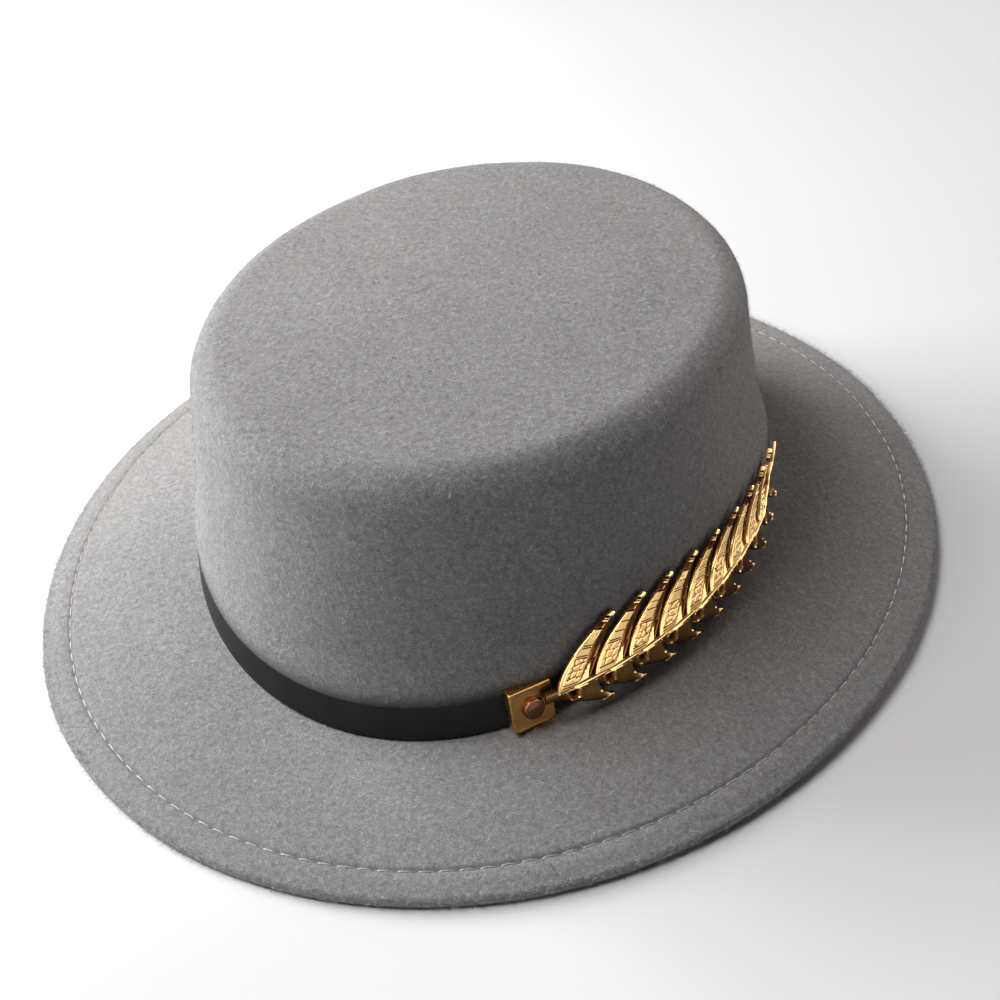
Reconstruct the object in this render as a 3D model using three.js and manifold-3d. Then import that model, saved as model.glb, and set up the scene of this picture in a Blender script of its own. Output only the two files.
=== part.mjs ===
// A felt hat with a low flat-topped crown, a wide sloping brim, a narrow strap and a cast metal leaf.
// Millimetres, +Z up. The brim rests on z = 0, the front is -Y and the wearer's left is +X.
import * as THREE from 'three';
import { mergeVertices } from 'three/addons/utils/BufferGeometryUtils.js';
import Module from 'manifold-3d';

// The felt body
const FELT = 1.8; // thickness of one layer
const BASE_HALF_LENGTH = 103; // outside of the crown at its foot, front to back
const BASE_HALF_WIDTH = 86;
const BASE_HEIGHT = 16.5; // mean height of the crown's foot above the floor
const BASE_SADDLE = 6.8; // the foot is lower by this at front and back, higher at the sides
const CROWN_HEIGHT = 73.5; // from the mean foot to the top's rim
const LEAN_LENGTH = 10; // how far the crown leans in at front and back
const LEAN_WIDTH = 7;
const SHOULDER_RADIUS = 10.7;
const TOP_DOME = 2;
const BRIM_WIDTH = 52.5; // from the crown's foot to the edge, level
const BRIM_DROP = 0.7; // the brim leaves the crown this far below the strap
const FOOT_FILLET = 1.2;
const HEM_WIDTH = 9; // the brim's edge is turned under by this
const HEM_HEIGHT = 6.3; // mean height of the stitched line on the brim
const HEM_WAVE = 1.5; // the stitched line is lower by this at front and back
const EDGE_LIFT = 1.6; // the edge stands this far off the floor at the sides
const REST_SHARE = 0.15; // the share of the way round, by sine squared, that lies flat
const REST_WIDTH = 3.2; // width of the flat strip that the hat rests on

// The strap
const CLEARANCE = 0.3; // between neighbouring pieces
const STRAP_HEIGHT = 12;
const STRAP_THICKNESS = 1.7;

// The end plate and its rivet
const PLATE_ALONG = 52; // the plate's middle, measured along the leaf's line from the front
const PLATE_SIZE = 13.4;
const PLATE_THICKNESS = 2;
const PLATE_CORNER = 0.8;
const PLATE_FOOT = -0.3; // height of its lower edge above the crown's foot
const PLATE_TURN = -3; // degrees, back from the strap's slope
const FLANGE_THICKNESS = 0.6;
const RIVET_RADIUS = 3.4;
const RIVET_DOME = 1.5;
const SHANK_RADIUS = 1.5;

// The cast leaf. Its midrib runs from the plate round the wearer's left.
const LEAF_LINE = 6; // lengths along the leaf are measured this far out from the crown
const BLADE = 1.2; // thickness of a leaflet
const RIM_RAISE = 0.45;
const MIDRIB_HALF_WIDTH = [1.3, 0.5]; // at the plate and at the leaf's end
const MIDRIB_RIDGE = 0.4; // share of its width that is flat on top
const MIDRIB_SLOPE = 0.6; // depth of the slopes beside the flat
const MIDRIB_DEPTH = 1.6;
const UPPER_COUNT = 9;
const LOWER_COUNT = 10;
const FIRST_NODE = 64.3; // where the first leaflets meet the midrib
const NODE_PITCH = 10.95;
const POST_ALONG = 147; // the hidden post that stands on the strap
const POST_RADIUS = 1.2;

// The leaf at stations along it: heights above the crown's foot and distances out from the crown, for the
// ridge of the midrib and for the tips of the upper and lower leaflets, and how far past its node a tip lies.
const LEAF_STATIONS = [
  { along: 55.0, ridgeUp: 8.2, ridgeOut: 6.4, upperUp: 23.4, upperOut: 3.9, lowerUp: 0.6, lowerOut: 7.0 },
  { along: 58.0, ridgeUp: 8.4, ridgeOut: 6.6, upperUp: 23.4, upperOut: 3.9, lowerUp: 0.6, lowerOut: 7.0 },
  { along: 64.3, ridgeUp: 8.9, ridgeOut: 7.5, upperUp: 23.4, upperOut: 3.9, lowerUp: 0.6, lowerOut: 7.0 },
  { along: 108, ridgeUp: 7.7, ridgeOut: 7.5, upperUp: 20.9, upperOut: 3.9, lowerUp: -1.0, lowerOut: 7.0 },
  { along: 149, ridgeUp: 8.4, ridgeOut: 6.6, upperUp: 19.2, upperOut: 4.0, lowerUp: -0.2, lowerOut: 6.6 },
  { along: 157, ridgeUp: 8.8, ridgeOut: 6.3, upperUp: 18.4, upperOut: 4.1, lowerUp: 2.5, lowerOut: 6.2 },
  { along: 184, ridgeUp: 11.8, ridgeOut: 4.6, upperUp: 15.5, upperOut: 4.4, lowerUp: 8.0, lowerOut: 4.8 },
];
const TIP_REACH = [
  { along: 64.3, upper: 15.7, lower: 10.6 },
  { along: 108, upper: 17.8, lower: 9.6 },
  { along: 152, upper: 22.0, lower: 6.4 },
  { along: 163, upper: 22.0, lower: 4.5 },
];

// A leaflet's outline beside its node: how far along and what share of the way from the ridge to the tips.
// Each edge is a curve from its start, past its pull, to the tip, and is cut blunt just before the tip.
const UPPER_LEAFLET = { rear: -6, rearPull: [-4.2, 0.62], front: 3.2, frontPull: [7.4, 0.42] };
const LOWER_LEAFLET = { rear: -3.4, rearPull: [0.4, 0.66], front: 3.8, frontPull: [6.4, 0.4] };
const BLUNT = 0.97;

// The top of a leaflet from its rear edge to its front edge: a raised rim on each side of a sunk panel.
const LEAFLET_PROFILE = [
  { across: 0, raise: 1 },
  { across: 0.13, raise: 1 },
  { across: 0.2, raise: 0 },
  { across: 0.66, raise: 0 },
  { across: 0.76, raise: 1 },
  { across: 1, raise: 1 },
];

const FACETS = 72;
const SHOULDER_STEPS = 5;
const EDGE_STEPS = 4;
const FILLET_STEPS = 2;
const LEAFLET_STEPS = 6;
const MIDRIB_STEP = 5.4;

const wasm = await Module();
wasm.setup();

const angles = Array.from({ length: FACETS }, (_, i) => ((i + 0.5) * 2 * Math.PI) / FACETS);

// Height of the crown's foot at an angle, counted from the front towards the wearer's left.
function footHeight(angle) {
  return BASE_HEIGHT - BASE_SADDLE * Math.cos(2 * angle);
}

// A point beside the crown's leaning wall: out is the level distance from the wall. Below the crown's foot
// it is measured from the foot.
function besideWall(angle, z, out) {
  const foot = footHeight(angle);
  const lean = Math.max(0, z - foot) / (BASE_HEIGHT + CROWN_HEIGHT - foot);
  const width = BASE_HALF_WIDTH - LEAN_WIDTH * lean;
  const length = BASE_HALF_LENGTH - LEAN_LENGTH * lean;
  const normal = new THREE.Vector2(Math.sin(angle) / width, -Math.cos(angle) / length).normalize();
  return new THREE.Vector3(
    width * Math.sin(angle) + out * normal.x,
    -length * Math.cos(angle) + out * normal.y,
    z,
  );
}

// Height of the brim's upper face at a level distance from the wall: a parabola through the foot, the
// stitched line and the start of the rounded edge.
function brimTop(angle, out) {
  const start = footHeight(angle) - BRIM_DROP;
  const hemOut = BRIM_WIDTH - HEM_WIDTH;
  const hem = HEM_HEIGHT - HEM_WAVE * Math.cos(2 * angle);
  const edgeOut = BRIM_WIDTH - FELT;
  const edge = edgeFloor(angle) + 2 * FELT;
  const slope = (hem - start) / hemOut;
  const bend = ((edge - hem) / (edgeOut - hemOut) - slope) / edgeOut;
  return start + slope * out + bend * out * (out - hemOut);
}

// Height of the edge's underside: flat on the floor at front and back, raised towards the sides.
function edgeFloor(angle) {
  const share = (Math.sin(angle) ** 2 - REST_SHARE) / (1 - REST_SHARE);
  return EDGE_LIFT * Math.max(0, share);
}

// The crown's skin from the middle of its top down to where it leaves the shoulder, moved in by inset.
function crownRows(inset) {
  const top = BASE_HEIGHT + CROWN_HEIGHT - inset;
  const radius = SHOULDER_RADIUS - inset;
  const springing = BASE_HEIGHT + CROWN_HEIGHT - SHOULDER_RADIUS;
  const rows = [0.35, 0.7].map((share) => (angle) => {
    const rim = besideWall(angle, springing, -SHOULDER_RADIUS);
    return new THREE.Vector3(rim.x * share, rim.y * share, top + TOP_DOME * (1 - share * share));
  });
  for (let i = 0; i <= SHOULDER_STEPS; i++) {
    const turn = (Math.PI / 2) * (1 - i / SHOULDER_STEPS);
    const out = -inset - radius * (1 - Math.cos(turn));
    rows.push((angle) => {
      const point = besideWall(angle, springing, out);
      return point.setZ(springing + radius * Math.sin(turn));
    });
  }
  return rows;
}

// The upper skin from crown to edge, then the underside back to the crown's inner top.
function feltRows() {
  const filletTop = (angle) => brimTop(angle, FOOT_FILLET) + FOOT_FILLET;
  const rows = crownRows(0);
  rows.push((angle) => besideWall(angle, footHeight(angle) + STRAP_HEIGHT, 0));
  for (let i = 0; i <= FILLET_STEPS; i++) {
    const turn = (Math.PI / 2) * (i / FILLET_STEPS);
    const out = FOOT_FILLET * (1 - Math.cos(turn));
    rows.push((angle) => besideWall(angle, filletTop(angle) - FOOT_FILLET * Math.sin(turn), out));
  }
  for (const share of [0.2, 0.45, 0.7, 0.88]) {
    const out = share * (BRIM_WIDTH - FELT);
    rows.push((angle) => besideWall(angle, brimTop(angle, out), out));
  }
  for (let i = 0; i <= EDGE_STEPS; i++) {
    const turn = (Math.PI / 2) * (1 - (2 * i) / EDGE_STEPS);
    const out = BRIM_WIDTH - FELT + FELT * Math.cos(turn);
    rows.push((angle) => besideWall(angle, edgeFloor(angle) + FELT * (1 + Math.sin(turn)), out));
  }
  const restOut = BRIM_WIDTH - FELT - REST_WIDTH;
  const hemOut = BRIM_WIDTH - HEM_WIDTH;
  rows.push((angle) => besideWall(angle, edgeFloor(angle), restOut));
  rows.push((angle) => besideWall(angle, brimTop(angle, hemOut) - 2 * FELT, hemOut));
  for (const share of [0.84, 0.6, 0.3]) {
    const out = share * (BRIM_WIDTH - FELT);
    rows.push((angle) => besideWall(angle, brimTop(angle, out) - FELT, out));
  }
  rows.push((angle) => besideWall(angle, brimTop(angle, FOOT_FILLET) - FELT, FOOT_FILLET));
  rows.push((angle) => besideWall(angle, brimTop(angle, 0) + FOOT_FILLET - FELT / 2, FOOT_FILLET / 2 - FELT));
  rows.push((angle) => besideWall(angle, filletTop(angle) + FELT, -FELT));
  rows.push((angle) => besideWall(angle, footHeight(angle) + STRAP_HEIGHT, -FELT));
  rows.push(...crownRows(FELT).reverse());
  return rows;
}

// Rings of points joined into a closed skin. The first and last ring close on each other in a loop, or else
// each on a point in its middle.
function skin(rows, loop = false) {
  const width = rows[0].length;
  const positions = rows.flat().flatMap((point) => point.toArray());
  const index = [];
  const down = loop ? rows.length : rows.length - 1;
  for (let row = 0; row < down; row++) {
    const next = (row + 1) % rows.length;
    for (let i = 0; i < width; i++) {
      const a = row * width + i;
      const b = row * width + ((i + 1) % width);
      const c = next * width + i;
      const d = next * width + ((i + 1) % width);
      index.push(a, c, b, b, c, d);
    }
  }
  if (!loop) {
    for (const [row, flip] of [[0, false], [rows.length - 1, true]]) {
      const sum = rows[row].reduce((total, point) => total.add(point), new THREE.Vector3());
      const middle = sum.divideScalar(width);
      const hub = positions.length / 3;
      positions.push(...middle.toArray());
      for (let i = 0; i < width; i++) {
        const a = row * width + i;
        const b = row * width + ((i + 1) % width);
        index.push(...(flip ? [hub, b, a] : [hub, a, b]));
      }
    }
  }
  const geometry = new THREE.BufferGeometry();
  geometry.setAttribute('position', new THREE.Float32BufferAttribute(positions, 3));
  geometry.setIndex(index);
  return geometry;
}

function toSolid(geometry) {
  const bare = new THREE.BufferGeometry();
  bare.setAttribute('position', geometry.getAttribute('position'));
  bare.setIndex(geometry.getIndex());
  const merged = mergeVertices(bare, 1e-4);
  const mesh = new wasm.Mesh({
    numProp: 3,
    vertProperties: Float32Array.from(merged.getAttribute('position').array),
    triVerts: Uint32Array.from(merged.getIndex().array),
  });
  return new wasm.Manifold(mesh);
}

function toGeometry(solid) {
  const mesh = solid.getMesh();
  const geometry = new THREE.BufferGeometry();
  geometry.setAttribute('position', new THREE.Float32BufferAttribute(mesh.vertProperties, 3));
  geometry.setIndex(Array.from(mesh.triVerts));
  return geometry;
}

// The line that lengths along the leaf are measured on, starting at the front.
class LeafLine extends THREE.Curve {
  getPoint(share, target = new THREE.Vector3()) {
    return target.copy(besideWall(share * Math.PI, BASE_HEIGHT, LEAF_LINE));
  }
}
const leafLine = new LeafLine();
leafLine.arcLengthDivisions = 720;
const leafLineLength = leafLine.getLength();

function angleAlong(along) {
  return leafLine.getUtoTmapping(along / leafLineLength) * Math.PI;
}

// A point of the leaf: along its line, up from the crown's foot, and out from the crown's wall.
function onStrap(along, up, out) {
  const angle = angleAlong(along);
  return besideWall(angle, footHeight(angle) + up, out);
}

// The plate's frame on the strap: x along it, y up, z out.
function frameOnStrap(along) {
  const origin = onStrap(along, 0, 0);
  const alongAxis = onStrap(along + 1, 0, 0).sub(onStrap(along - 1, 0, 0)).normalize();
  const upAxis = onStrap(along, STRAP_HEIGHT, 0).sub(origin);
  const outAxis = new THREE.Vector3().crossVectors(alongAxis, upAxis).normalize();
  upAxis.crossVectors(outAxis, alongAxis);
  const turn = new THREE.Matrix4().makeRotationZ(THREE.MathUtils.degToRad(PLATE_TURN));
  return new THREE.Matrix4().makeBasis(alongAxis, upAxis, outAxis).setPosition(origin).multiply(turn);
}

function feltGeometry() {
  const rows = feltRows().map((row) => angles.map(row));
  return skin(rows);
}

function cylinder(radius, height, sides, matrix) {
  const geometry = new THREE.CylinderGeometry(radius, radius, height, sides);
  geometry.rotateX(Math.PI / 2);
  geometry.applyMatrix4(matrix);
  return toSolid(geometry);
}

// Where the rivet stands, in the plate's frame.
const rivetSeat = new THREE.Vector3(0, PLATE_FOOT + PLATE_SIZE / 2, 0);
const plateFrame = frameOnStrap(PLATE_ALONG);
const rivetFrame = plateFrame.clone().multiply(new THREE.Matrix4().setPosition(rivetSeat));

function strapGeometry() {
  const inner = CLEARANCE;
  const outer = CLEARANCE + STRAP_THICKNESS;
  const corners = [[inner, 0], [outer, 0], [outer, STRAP_HEIGHT], [inner, STRAP_HEIGHT]];
  const rows = angles.map((angle) =>
    corners.map(([out, up]) => besideWall(angle, footHeight(angle) + up, out)),
  );
  const hole = cylinder(SHANK_RADIUS + CLEARANCE, 10, 16, rivetFrame);
  return toGeometry(toSolid(skin(rows, true)).subtract(hole));
}

// Distance out of the plate's back face from the crown's wall.
const PLATE_BACK = 2 * CLEARANCE + STRAP_THICKNESS;

function plateGeometry() {
  const half = PLATE_SIZE / 2;
  const outline = new THREE.Shape();
  outline.moveTo(-half + PLATE_CORNER, 0);
  outline.lineTo(half - PLATE_CORNER, 0);
  outline.absarc(half - PLATE_CORNER, PLATE_CORNER, PLATE_CORNER, -Math.PI / 2, 0);
  outline.lineTo(half, PLATE_SIZE);
  outline.lineTo(-half, PLATE_SIZE);
  outline.lineTo(-half, PLATE_CORNER);
  outline.absarc(-half + PLATE_CORNER, PLATE_CORNER, PLATE_CORNER, Math.PI, 1.5 * Math.PI);
  const front = new THREE.ExtrudeGeometry(outline, {
    depth: PLATE_THICKNESS,
    bevelEnabled: false,
    curveSegments: 4,
  });
  front.translate(0, PLATE_FOOT, PLATE_BACK);
  const reach = PLATE_BACK + PLATE_THICKNESS - 2 * CLEARANCE;
  const flange = new THREE.BoxGeometry(PLATE_SIZE, FLANGE_THICKNESS, reach);
  flange.translate(0, PLATE_FOOT + PLATE_SIZE - FLANGE_THICKNESS / 2, 2 * CLEARANCE + reach / 2);
  const hole = cylinder(SHANK_RADIUS + CLEARANCE, 12, 16, new THREE.Matrix4().setPosition(rivetSeat));
  return toGeometry(toSolid(front).add(toSolid(flange)).subtract(hole));
}

function rivetGeometry() {
  const face = PLATE_BACK + PLATE_THICKNESS + CLEARANCE;
  const back = CLEARANCE + 0.2;
  const profile = [new THREE.Vector2(0, back), new THREE.Vector2(SHANK_RADIUS, back)];
  profile.push(new THREE.Vector2(SHANK_RADIUS, face), new THREE.Vector2(RIVET_RADIUS, face));
  for (const turn of [25, 50, 75]) {
    const angle = THREE.MathUtils.degToRad(turn);
    profile.push(new THREE.Vector2(RIVET_RADIUS * Math.cos(angle), face + RIVET_DOME * Math.sin(angle)));
  }
  profile.push(new THREE.Vector2(0, face + RIVET_DOME));
  const geometry = new THREE.LatheGeometry(profile, 24);
  return geometry.rotateX(Math.PI / 2);
}

// A column of a table of stations at a place along the leaf.
function leafAt(along, column, stations = LEAF_STATIONS) {
  const last = stations.length - 1;
  const place = THREE.MathUtils.clamp(along, stations[0].along, stations[last].along);
  const next = Math.max(1, stations.findIndex((station) => station.along >= place));
  const [a, b] = [stations[next - 1], stations[next]];
  return THREE.MathUtils.mapLinear(place, a.along, b.along, a[column], b[column]);
}

function between(start, pull, end, share) {
  const left = 1 - share;
  return left * left * start + 2 * left * share * pull + share * share * end;
}

// One leaflet in the leaf's own coordinates: x along, y up, z out. The reach is a share of the way from the
// ridge to the tips, so the leaflets follow the leaf's outline.
function leaflet(node, plan, side) {
  const tipUp = `${side}Up`;
  const tipOut = `${side}Out`;
  const spot = (along, reach, raise) => {
    const place = node + along;
    const up = THREE.MathUtils.lerp(leafAt(place, 'ridgeUp'), leafAt(place, tipUp), reach);
    const out = THREE.MathUtils.lerp(leafAt(place, 'ridgeOut'), leafAt(place, tipOut), reach);
    return new THREE.Vector3(place, up, out + raise - RIM_RAISE);
  };
  const tip = leafAt(node, side, TIP_REACH);
  const { rear, rearPull, front, frontPull } = plan;
  const rows = [];
  for (let step = 0; step <= LEAFLET_STEPS; step++) {
    const share = BLUNT * (step / LEAFLET_STEPS);
    const back = [between(rear, rearPull[0], tip, share), between(0, rearPull[1], 1, share)];
    const fore = [between(front, frontPull[0], tip, share), between(0, frontPull[1], 1, share)];
    const relief = step === 0 || step === LEAFLET_STEPS ? 0 : RIM_RAISE;
    const mix = (across) => [0, 1].map((k) => THREE.MathUtils.lerp(back[k], fore[k], across));
    const top = LEAFLET_PROFILE.map(({ across, raise }) => spot(...mix(across), relief * raise));
    const bottom = [1, 0].map((across) => spot(...mix(across), -BLADE));
    rows.push([...top, ...bottom]);
  }
  if (side === 'upper') rows.reverse();
  return toSolid(skin(rows));
}

// The midrib: a bar of six sides from the lug on the plate to the leaf's end.
function midrib() {
  const first = LEAF_STATIONS[0].along;
  const end = LEAF_STATIONS[LEAF_STATIONS.length - 1].along;
  const count = Math.round((end - first) / MIDRIB_STEP);
  const rows = [];
  for (let i = 0; i <= count; i++) {
    const along = THREE.MathUtils.lerp(first, end, i / count);
    const half = THREE.MathUtils.lerp(...MIDRIB_HALF_WIDTH, i / count);
    const up = leafAt(along, 'ridgeUp');
    const out = leafAt(along, 'ridgeOut');
    const ridge = half * MIDRIB_RIDGE;
    const lower = [[-half, -MIDRIB_SLOPE], [-ridge, 0]];
    const upper = [[ridge, 0], [half, -MIDRIB_SLOPE]];
    const section = [...lower, ...upper, [half, -MIDRIB_DEPTH], [-half, -MIDRIB_DEPTH]];
    rows.push(section.map(([dy, dz]) => new THREE.Vector3(along, up + dy, out + dz)));
  }
  return toSolid(skin(rows));
}

function post() {
  const foot = 2 * CLEARANCE + STRAP_THICKNESS;
  const head = leafAt(POST_ALONG, 'ridgeOut') - BLADE;
  const geometry = new THREE.CylinderGeometry(POST_RADIUS, POST_RADIUS, head - foot, 10);
  geometry.rotateX(Math.PI / 2);
  geometry.translate(POST_ALONG, leafAt(POST_ALONG, 'ridgeUp'), (head + foot) / 2);
  return toSolid(geometry);
}

function leafGeometry() {
  let leaf = midrib().add(post());
  for (let i = 0; i < UPPER_COUNT; i++) {
    leaf = leaf.add(leaflet(FIRST_NODE + i * NODE_PITCH, UPPER_LEAFLET, 'upper'));
  }
  for (let i = 0; i < LOWER_COUNT; i++) {
    leaf = leaf.add(leaflet(FIRST_NODE + i * NODE_PITCH, LOWER_LEAFLET, 'lower'));
  }
  const flat = toGeometry(leaf);
  const places = flat.getAttribute('position');
  for (let i = 0; i < places.count; i++) {
    const point = onStrap(places.getX(i), places.getY(i), places.getZ(i));
    places.setXYZ(i, point.x, point.y, point.z);
  }
  return flat;
}

const felt = new THREE.MeshStandardMaterial({ color: 0x8b8988, roughness: 0.95, metalness: 0 });
const strapLeather = new THREE.MeshStandardMaterial({ color: 0x151417, roughness: 0.45, metalness: 0 });
const goldPlating = new THREE.MeshStandardMaterial({ color: 0xd9a441, roughness: 0.22, metalness: 1 });
const copperPlating = new THREE.MeshStandardMaterial({ color: 0x8f5a3a, roughness: 0.3, metalness: 1 });

function piece(name, geometry, material) {
  const mesh = new THREE.Mesh(geometry, material);
  mesh.name = name;
  return mesh;
}

const hat = new THREE.Group();
hat.add(piece('felt_body', feltGeometry(), felt));
hat.add(piece('hat_band', strapGeometry(), strapLeather));
hat.add(piece('leaf_ornament', leafGeometry(), goldPlating));

const clasp = new THREE.Group();
clasp.applyMatrix4(plateFrame);
clasp.add(piece('end_plate', plateGeometry(), goldPlating.clone()));
const rivet = piece('rivet', rivetGeometry(), copperPlating);
rivet.position.copy(rivetSeat);
clasp.add(rivet);
hat.add(clasp);

export default hat;
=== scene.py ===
# A grey wool felt hat: flat crown, wide stitched brim, narrow black strap, and a cast gold-coloured leaf.
# Sizes are in millimetres and turn to metres where a mesh is made. Angle 0 is the hat's front, and angles
# grow towards the wearer's left, where the leaf is.
import math

import bmesh
import bpy
import numpy as np
from mathutils import Matrix, Vector, noise


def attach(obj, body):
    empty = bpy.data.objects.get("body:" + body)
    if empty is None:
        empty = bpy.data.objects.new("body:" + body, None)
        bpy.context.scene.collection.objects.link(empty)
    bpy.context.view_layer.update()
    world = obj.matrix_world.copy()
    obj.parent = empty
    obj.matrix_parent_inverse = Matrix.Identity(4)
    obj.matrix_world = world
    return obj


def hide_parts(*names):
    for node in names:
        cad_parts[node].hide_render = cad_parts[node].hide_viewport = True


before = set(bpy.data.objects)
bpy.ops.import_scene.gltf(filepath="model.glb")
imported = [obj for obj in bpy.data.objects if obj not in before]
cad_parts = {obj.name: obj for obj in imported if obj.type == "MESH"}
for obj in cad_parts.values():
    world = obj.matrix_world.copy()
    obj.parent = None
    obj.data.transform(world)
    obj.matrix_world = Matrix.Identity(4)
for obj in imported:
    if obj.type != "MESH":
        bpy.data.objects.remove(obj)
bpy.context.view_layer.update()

MM = 0.001

# Felt body
FELT = 1.8  # thickness of one layer
BASE_HALF_LENGTH = 103  # outside of the crown at its foot, front to back
BASE_HALF_WIDTH = 86
BASE_HEIGHT = 16.5  # mean height of the crown's foot above the floor
BASE_SADDLE = 6.8  # the foot is lower by this at front and back, higher at the sides
CROWN_HEIGHT = 73.5
LEAN_LENGTH = 10  # how far the crown leans in at front and back
LEAN_WIDTH = 7
SHOULDER_RADIUS = 10.7
TOP_DOME = 2
BRIM_WIDTH = 52.5
BRIM_DROP = 0.7  # the brim leaves the crown this far below the strap
FOOT_FILLET = 1.2
HEM_WIDTH = 9  # the brim's edge is turned under by this
HEM_HEIGHT = 6.3  # mean height of the stitched line
HEM_WAVE = 1.5  # the stitched line is lower by this at front and back
HEM_SWELL = 0.2  # the felt swells by this between the stitches and the edge
EDGE_LIFT = 1.6  # the edge stands this far off the floor at the sides
REST_SHARE = 0.15  # the share of the way round, by sine squared, that lies flat
REST_WIDTH = 3.2
HEM_OUT = BRIM_WIDTH - HEM_WIDTH
EDGE_OUT = BRIM_WIDTH - FELT
CROWN_TOP = BASE_HEIGHT + CROWN_HEIGHT
SPRINGING = CROWN_TOP - SHOULDER_RADIUS

# Waves of hand-blocked felt. Below WAVE_FLOOR the felt isn't lifted, so it lies flat where it rests.
SLOW_WAVE_LENGTH = 44
SLOW_WAVE_HEIGHT = 0.4
QUICK_WAVE_LENGTH = 12
QUICK_WAVE_HEIGHT = 0.1
WAVE_FLOOR = 4
WAVE_FADE = 6

# Stitched line
STITCH_PITCH = 5.4
STITCH_LENGTH = 3.7
STITCH_RISE = 0.42
STITCH_SINK = 0.6  # the ends of a stitch above the brim lie this far below the felt's face
UNDER_STITCH_SINK = 0.2  # and those of a stitch below it this far inside
THREAD_RADIUS = 0.17
GROOVE_DEPTH = 0.75
GROOVE_WIDTH = 0.7
GROOVE_REACH = 2.6
GROOVE_OFFSETS = (-1.8, -1.2, -0.8, -0.4, 0, 0.4, 0.8, 1.2, 1.8)
GROOVE_SHADE = 0.2  # how much painted shade darkens the felt in the groove
COLUMNS_PER_STITCH = 4

# Nap. No hair or stitch comes nearer the floor than this gap.
FLOOR_GAP = 0.02
HAIR_SIZES = (0.35, 1.3)
HAIR_SPIN = 3.14  # about half a turn either way
NAP = {
    # Hairs in a square millimetre, length, width, tilt in radians, seed
    "crown_top": (1.25, 1.4, 0.055, 0.45, 3),
    "crown_side": (0.95, 1.7, 0.055, 0.4, 5),
    "brim": (0.78, 1.4, 0.055, 0.45, 8),
    "edge": (5.5, 1.6, 0.06, 1.2, 11),
}

# Strap, and the lip of felt over its top edge: height above the crown's foot, distance out, how much painted
# shade darkens it
CLEARANCE = 0.3
STRAP_HEIGHT = 12
STRAP_INNER = 0.05
STRAP_OUTER = 1.5
STRAP_BACK_ROUND = 0.2
STRAP_FACE_ROUND = 0.25
STRAP_BELLY = 0.1
STRAP_COLUMNS = 360
FELT_LIP = [
    (34, 0, 0), (30, 0.06, 0), (26, 0.25, 0), (23, 0.55, 0), (20.5, 0.9, 0), (18.5, 1.2, 0), (17, 1.4, 0),
    (15.8, 1.53, 0.05), (14.8, 1.61, 0.15), (13.8, 1.67, 0.32), (12.9, 1.69, 0.5), (12.1, 1.69, 0.66),
    (11.4, 1.68, 0.8), (10.9, 1.64, 0.9), (10.65, 1.58, 1), (10.65, 1.53, 1), (12.05, 1.53, 1), (12.05, 0, 1),
]

# Plate and rivet. Turn and yaw are in degrees: back from the strap's slope, and out at the plate's left end.
PLATE_ALONG = 50.9
PLATE_SIZE = 13.2
PLATE_THICKNESS = 2.8
PLATE_FOOT = -1.1
PLATE_TURN = -5.6
PLATE_YAW = 14
PLATE_HALF = PLATE_SIZE / 2
PLATE_TOP = PLATE_FOOT + PLATE_SIZE
PLATE_MIDDLE = PLATE_FOOT + PLATE_HALF
PLATE_BACK = STRAP_OUTER + 0.1
PLATE_FACE = PLATE_BACK + PLATE_THICKNESS
PLATE_LOW_CORNER = 1.7
PLATE_HIGH_CORNER = 0.7
PLATE_EDGE_ROUND = 0.35
PLATE_WORN = 0.12  # how sunk the face looks beside its polished edge
# The plate's face is slightly hollow: how far in from the outline, how far below the face
PLATE_HOLLOW = [(0.5, 0), (0.8, 0.06), (1.6, 0.1), (3.2, 0.12), (5.2, 0.12)]
# The edge folded back over the strap: how far in, how far out from its back end
FLANGE_THICKNESS = 0.6
FLANGE_CORNER = 0.18
FLANGE_REACH = PLATE_FACE - 2 * CLEARANCE
FLANGE_RINGS = [(0.23, FLANGE_REACH - 0.3), (0.03, FLANGE_REACH - 0.6), (0.03, 0.25), (0.15, 0.08), (0.28, 0)]
RIVET_RADIUS = 3.15
RIVET_SHANK = 1.5
RIVET_RIM = 1.0
RIVET_ROUND = 0.55
RIVET_DOME = 1.5
RIVET_CROWN = [(2.4, 0.27), (1.9, 0.16), (1.2, 0.06), (0.5, 0)]  # radius, how far below the top
RIVET_COLUMNS = 72

# Leaf: a place is how far along the strap, how far up from the crown's foot, how far out from its wall.
LEAF_LINE = 6  # lengths along the leaf are measured this far out from the crown
LEAF_LINE_STEPS = 720
BLADE = 1.2  # thickness of a leaflet
BLUNT = 0.985  # a leaflet ends here, short of its sharp point
EDGE_ROUND = 0.28
UPPER_COUNT = 9
LOWER_COUNT = 10
FIRST_NODE = 64.3  # where the first leaflets meet the midrib
NODE_PITCH = 10.95
POST_ALONG = 147
POST_RADIUS = 1.2
POST_COLUMNS = 16
LEAF_STATIONS = {
    "along": [55.0, 58.0, 64.3, 108, 149, 157, 167, 184],
    "ridge up": [8.2, 8.4, 8.9, 7.7, 8.4, 8.8, 9.9, 11.8],
    "ridge out": [6.4, 6.6, 7.5, 7.5, 6.2, 4.7, 3.7, 4.2],
    "upper up": [23.4, 23.4, 23.4, 20.9, 19.2, 18.4, 17.3, 15.5],
    "upper out": [2.9, 2.9, 2.9, 2.6, 3.9, 4.2, 4.2, 4.0],
    "lower up": [0.6, 0.6, 0.6, -1.0, -0.2, 2.5, 4.5, 8.0],
    "lower out": [7.0, 7.0, 7.0, 7.0, 6.6, 6.2, 5.4, 4.8],
}
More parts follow.
